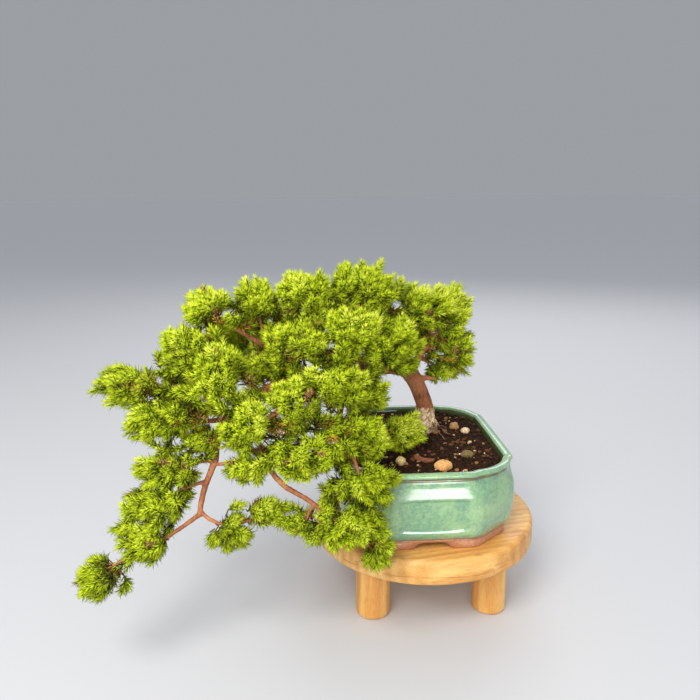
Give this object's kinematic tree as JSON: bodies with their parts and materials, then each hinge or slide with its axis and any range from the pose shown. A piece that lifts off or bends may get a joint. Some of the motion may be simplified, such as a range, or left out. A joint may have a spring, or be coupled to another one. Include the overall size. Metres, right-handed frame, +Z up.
{
  "type": "juniper bonsai in a pot",
  "caption": "Living juniper bonsai with a bent trunk and needle foliage cascading to one side, in a cut-corner glazed pot on a low round wooden stand.",
  "frame": {"origin": "on the surface that the stand's feet rest on, under the middle of the object's bounding box", "axes": "+Z up; +X to the right as seen from the front, away from the cascading branch; -Y towards the front, where the lowest branch hangs in front of the pot"},
  "size_m": [0.3178, 0.2034, 0.2549],
  "materials": {
    "timber": "satin",
    "glaze": "gloss",
    "screen": "matte",
    "soil": "matte",
    "bark": "matte",
    "foliage": "matte",
    "stone_cream": "matte",
    "stone_tan": "matte",
    "chip": "matte"
  },
  "bodies": {
    "root": {"stand_top": "timber", "stand_leg_1": "timber", "stand_leg_2": "timber", "stand_leg_3": "timber", "stand_leg_4": "timber", "pot": "glaze", "drain_screen_1": "screen", "drain_screen_2": "screen", "trunk_and_branches": "bark", "stone_tan_large": "stone_tan", "stone_cream": "stone_cream", "stone_tan_small": "stone_tan", "stone_cream_small": "stone_cream", "stone_olive": "stone_tan", "bark_chip": "chip", "soil": "soil", "foliage_crown_top": "foliage", "foliage_crown_left": "foliage", "foliage_crown_far_left": "foliage", "foliage_crown_back": "foliage", "foliage_shoulder_left": "foliage", "foliage_shoulder_back": "foliage", "foliage_left_high": "foliage", "foliage_left_tip": "foliage", "foliage_left_low": "foliage", "foliage_left_middle": "foliage", "foliage_left_back": "foliage", "foliage_centre_back": "foliage", "foliage_centre_high": "foliage", "foliage_centre_face": "foliage", "foliage_right_face": "foliage", "foliage_right_inner": "foliage", "foliage_right_top": "foliage", "foliage_right_outer": "foliage", "foliage_right_low": "foliage", "foliage_right_back": "foliage", "foliage_front_upper": "foliage", "foliage_front_right": "foliage", "foliage_front_middle": "foliage", "foliage_front_left": "foliage", "foliage_over_pot": "foliage", "foliage_front_low": "foliage", "foliage_pot_face": "foliage", "foliage_stand_face": "foliage", "foliage_stand_low": "foliage", "foliage_side_tuft": "foliage", "foliage_inner_right": "foliage", "foliage_inner_left": "foliage", "foliage_fork_right_high": "foliage", "foliage_fork_right_low": "foliage", "foliage_cascade_high": "foliage", "foliage_cascade_middle": "foliage", "foliage_cascade_low": "foliage", "foliage_cascade_tip": "foliage", "foliage_soil_sprig": "foliage", "foliage_heart_left": "foliage", "foliage_heart_right": "foliage"}
  },
  "joints": []
}
